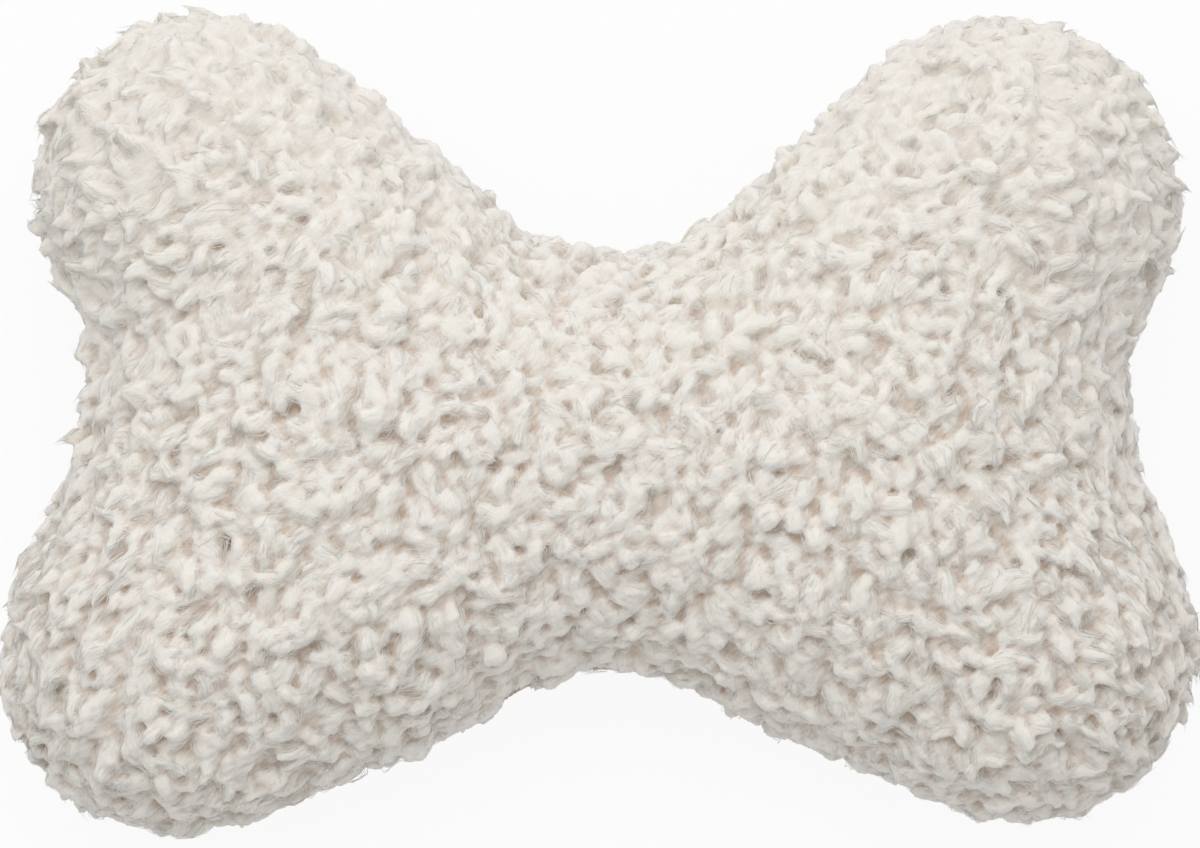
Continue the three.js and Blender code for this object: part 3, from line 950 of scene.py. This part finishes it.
def eased(outline, radius):
    """Rounds every corner of a closed outline."""
    points = []
    for i, corner in enumerate(outline):
        here, before, after = (Vector(outline[k]) for k in (i, i - 1, (i + 1) % len(outline)))
        back, ahead = (before - here), (after - here)
        start = here + back.normalized() * min(radius, back.length / 3)
        end = here + ahead.normalized() * min(radius, ahead.length / 3)
        points += [tuple(start), tuple((start + end + here * 2) / 4), tuple(end)]
    return points


plug = turned_piece(
    "reed_plug",
    eased(
        [
            (PLUG_BORE, plug_low.z),
            (PLUG_RADIUS, plug_low.z),
            (PLUG_RADIUS, barb_top - BARB_HEIGHT),
            (PLUG_RADIUS + BARB, barb_top),
            (PLUG_RADIUS, barb_top),
            (PLUG_RADIUS, plug_high.z - RIM_THICKNESS),
            (rim_radius, plug_high.z - RIM_THICKNESS),
            (rim_radius, plug_high.z),
            (PLUG_BORE, plug_high.z),
        ],
        MOULD_EASE,
    ),
    plug_middle,
)


def prism(name, outline, low, high, place):
    """An outline of two coordinates, drawn out from low to high and put in its place."""
    count = len(outline)
    points = [place(u, v, w) for w in (low, high) for u, v in outline]
    sides = [(i, (i + 1) % count, count + (i + 1) % count, count + i) for i in range(count)]
    ends = [tuple(range(count)), tuple(range(count, 2 * count))]
    thing = piece_from(name, points, [], sides + ends)
    close_up(thing)
    return thing


def ease_edges(thing, width):
    modify(thing, "BEVEL", width=width, segments=EDGE_STEPS, limit_method="ANGLE")
    smooth_but_edges(thing)


clip_low, clip_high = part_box("squeaker_reed_clip")
clip_radius = (clip_high.y - clip_low.y) / 2
opening = math.acos(CLIP_FLAT / clip_radius)
round_turn = 2 * math.pi - 2 * opening
round_side = [opening + round_turn * step / (3 * ARC_STEPS) for step in range(3 * ARC_STEPS + 1)]
channel = [math.pi * step / ARC_STEPS for step in range(ARC_STEPS + 1)]
clip = prism(
    "reed_clip",
    [(clip_radius * math.cos(a), clip_radius * math.sin(a)) for a in round_side]
    + [(CLIP_FLAT - CHANNEL_DEPTH * math.sin(a), -CHANNEL_RADIUS * math.cos(a)) for a in channel],
    clip_low.z,
    clip_high.z,
    lambda u, v, w: (plug_middle.x + u, plug_middle.y + v, w),
)
ease_edges(clip, CLIP_EDGE)
hard_plastic, tree = new_material("hard_white_plastic")
grain = noise(tree, place_on_object(tree), 2400.0, 2.0)
finish_surface(
    tree,
    {
        "Base Color": blend_colours(tree, grain, HARD_GREY, HARD_WHITE),
        "Roughness": 0.22 + grain * 0.12,
        "Normal": bump(tree, grain, 0.15, 0.02 * MM),
    },
)
for piece, node_name in ((plug, "squeaker_reed_plug"), (clip, "squeaker_reed_clip")):
    dress(piece, hard_plastic)
    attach(piece, "reed_insert")
    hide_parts(node_name)

# Reed: a tongue of thin stiff film with a rounded free end, gripped by the clip at its top. The
# air from the drum makes it flutter over the clip's channel.
BLADE_EDGE = 0.05 * MM
SCRATCH_STRETCH = (1, 6, 0.3)
FILM_BLUE = (0.60, 0.65, 0.69)
FILM_PALE = (0.70, 0.74, 0.77)
blade_low, blade_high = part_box("squeaker_reed_blade")
blade_half = (blade_high.y - blade_low.y) / 2
blade_middle = (blade_high.y + blade_low.y) / 2
round_end = [math.pi + math.pi * step / (2 * ARC_STEPS) for step in range(2 * ARC_STEPS + 1)]
free_end = [
    (blade_middle + blade_half * math.cos(a), blade_low.z + blade_half * (1 + math.sin(a)))
    for a in round_end
]
blade = prism(
    "reed_blade",
    free_end + [(blade_high.y, blade_high.z), (blade_low.y, blade_high.z)],
    blade_low.x,
    blade_high.x,
    lambda u, v, w: (w, u, v),
)
ease_edges(blade, BLADE_EDGE)
film, tree = new_material("stiff_film")
scratches = noise(tree, stretch(tree, place_on_object(tree), SCRATCH_STRETCH), 900.0, 3.0)
finish_surface(
    tree,
    {
        "Base Color": blend_colours(tree, scratches, FILM_BLUE, FILM_PALE),
        "Roughness": 0.12 + scratches * 0.2,
        "Normal": bump(tree, scratches, 0.2, 0.01 * MM),
    },
)
dress(blade, film)
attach(blade, "reed_blade")
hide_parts("squeaker_reed_blade")
for helper in (stuffed_bone, backing, undergrowth, lining):
    bpy.data.objects.remove(helper)

# Studio: the toy lies on white paper under an even pale sky, with one large soft lamp above its far
# side. The camera looks straight down on the front panel through a long lens.
FLOOR_SIZE = 6
PAPER_GREY = 0.85
PAPER_GLOW = 0.9
SKY_LIGHT = 0.71
SKY_LIGHT_FROM_TOP = 0.1
LAMP_PLACE = (-0.08, 0.42, 0.85)
LAMP_SIZE = 0.9
LAMP_POWER = 3.5
CAMERA_HEIGHT = 1.8
PICTURE_WIDTH = 0.2816
PICTURE_MIDDLE = (0.1 * MM, -0.7 * MM)
SENSOR_WIDTH = 36
NEAREST_SEEN = 0.01

bpy.ops.mesh.primitive_plane_add(size=FLOOR_SIZE, location=(0, 0, 0))
floor = bpy.context.object
floor.name = "floor"
paper, tree = new_material("paper")
matt = add_node(tree, "ShaderNodeBsdfDiffuse", {}, {"Color": (PAPER_GREY, PAPER_GREY, PAPER_GREY, 1)})
glow = add_node(tree, "ShaderNodeEmission", {}, {"Color": (1, 1, 1, 1), "Strength": 1.0})
seen = add_node(tree, "ShaderNodeLightPath", {}, {})
finish_material(tree, add_node(tree, "ShaderNodeMixShader", {}, {0: seen * PAPER_GLOW, 1: matt, 2: glow}))
floor.data.materials.append(paper)

world = bpy.data.worlds.new("studio")
bpy.context.scene.world = world
world.use_nodes = True
tree = world.node_tree
sky = add_node(tree, "ShaderNodeTexCoord", {}, {}, output="Generated")
towards_top = add_node(tree, "ShaderNodeSeparateXYZ", {}, {0: sky}, output="Y")
plain = add_node(tree, "ShaderNodeLightPath", {}, {})
strength = plain + (1 - plain) * (SKY_LIGHT + towards_top * SKY_LIGHT_FROM_TOP)
tree.links.new(strength.socket, tree.nodes["Background"].inputs["Strength"])
tree.nodes["Background"].inputs["Color"].default_value = (1, 1, 1, 1)

lamp = bpy.data.objects.new("key_light", bpy.data.lights.new("key_light", "AREA"))
bpy.context.scene.collection.objects.link(lamp)
lamp.data.shape = "DISK"
lamp.data.size = LAMP_SIZE
lamp.data.energy = LAMP_POWER
lamp.location = LAMP_PLACE
towards_toy = Vector((0, 0, SEAM_HEIGHT)) - Vector(LAMP_PLACE)
lamp.rotation_euler = towards_toy.to_track_quat("-Z", "Y").to_euler()

camera = bpy.data.objects.new("camera", bpy.data.cameras.new("camera"))
bpy.context.scene.collection.objects.link(camera)
camera.data.sensor_width = SENSOR_WIDTH
camera.data.lens = SENSOR_WIDTH * CAMERA_HEIGHT / PICTURE_WIDTH
camera.data.clip_start = NEAREST_SEEN
camera.location = (*PICTURE_MIDDLE, SEAM_HEIGHT + CAMERA_HEIGHT)
bpy.context.scene.camera = camera
bpy.context.scene.view_settings.view_transform = "Standard"
